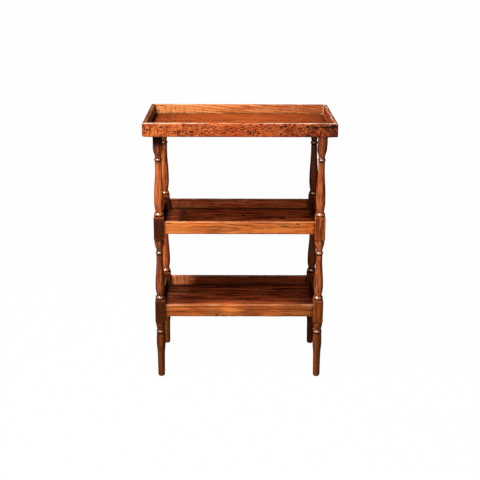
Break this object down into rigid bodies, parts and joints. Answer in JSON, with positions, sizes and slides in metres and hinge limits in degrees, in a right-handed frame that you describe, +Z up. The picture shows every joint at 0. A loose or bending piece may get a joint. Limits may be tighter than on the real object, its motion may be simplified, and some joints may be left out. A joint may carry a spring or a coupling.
{
  "type": "tiered side table",
  "caption": "Free-standing wooden side table: a lipped tray top and two lower tray shelves on turned legs, for holding drinks, books or plants.",
  "frame": {"origin": "on the floor, under the middle of the table", "axes": "+X along the width to the right, +Y from front to back, +Z up"},
  "size_m": [0.6, 0.4, 0.85],
  "materials": {
    "turned_wood": "waxed, satin to gloss",
    "shelf_rail_wood": "waxed, satin",
    "tray_rail_wood": "waxed, worn edges",
    "floor_wood": "waxed, satin",
    "cleat_wood": "plain sawn",
    "steel": "dull, bare"
  },
  "bodies": {
    "root": {"front_left_leg": "turned_wood", "front_right_leg": "turned_wood", "rear_right_leg": "turned_wood", "rear_left_leg": "turned_wood", "middle_shelf_front_rail": "shelf_rail_wood", "middle_shelf_right_rail": "shelf_rail_wood", "middle_shelf_back_rail": "shelf_rail_wood", "middle_shelf_left_rail": "shelf_rail_wood", "middle_shelf_floor_board_front": "floor_wood", "middle_shelf_floor_board_middle": "floor_wood", "middle_shelf_floor_board_back": "floor_wood", "middle_shelf_floor_pins": "steel", "lower_shelf_front_rail": "shelf_rail_wood", "lower_shelf_right_rail": "shelf_rail_wood", "lower_shelf_back_rail": "shelf_rail_wood", "lower_shelf_left_rail": "shelf_rail_wood", "lower_shelf_floor_board_front": "floor_wood", "lower_shelf_floor_board_middle": "floor_wood", "lower_shelf_floor_board_back": "floor_wood", "lower_shelf_floor_pins": "steel", "tray_front_rail": "tray_rail_wood", "tray_right_rail": "tray_rail_wood", "tray_back_rail": "tray_rail_wood", "tray_left_rail": "tray_rail_wood", "tray_floor_board_front": "floor_wood", "tray_floor_board_middle": "floor_wood", "tray_floor_board_back": "floor_wood", "tray_left_cleat": "cleat_wood", "tray_right_cleat": "cleat_wood", "tray_cleat_screws": "steel"}
  },
  "joints": []
}
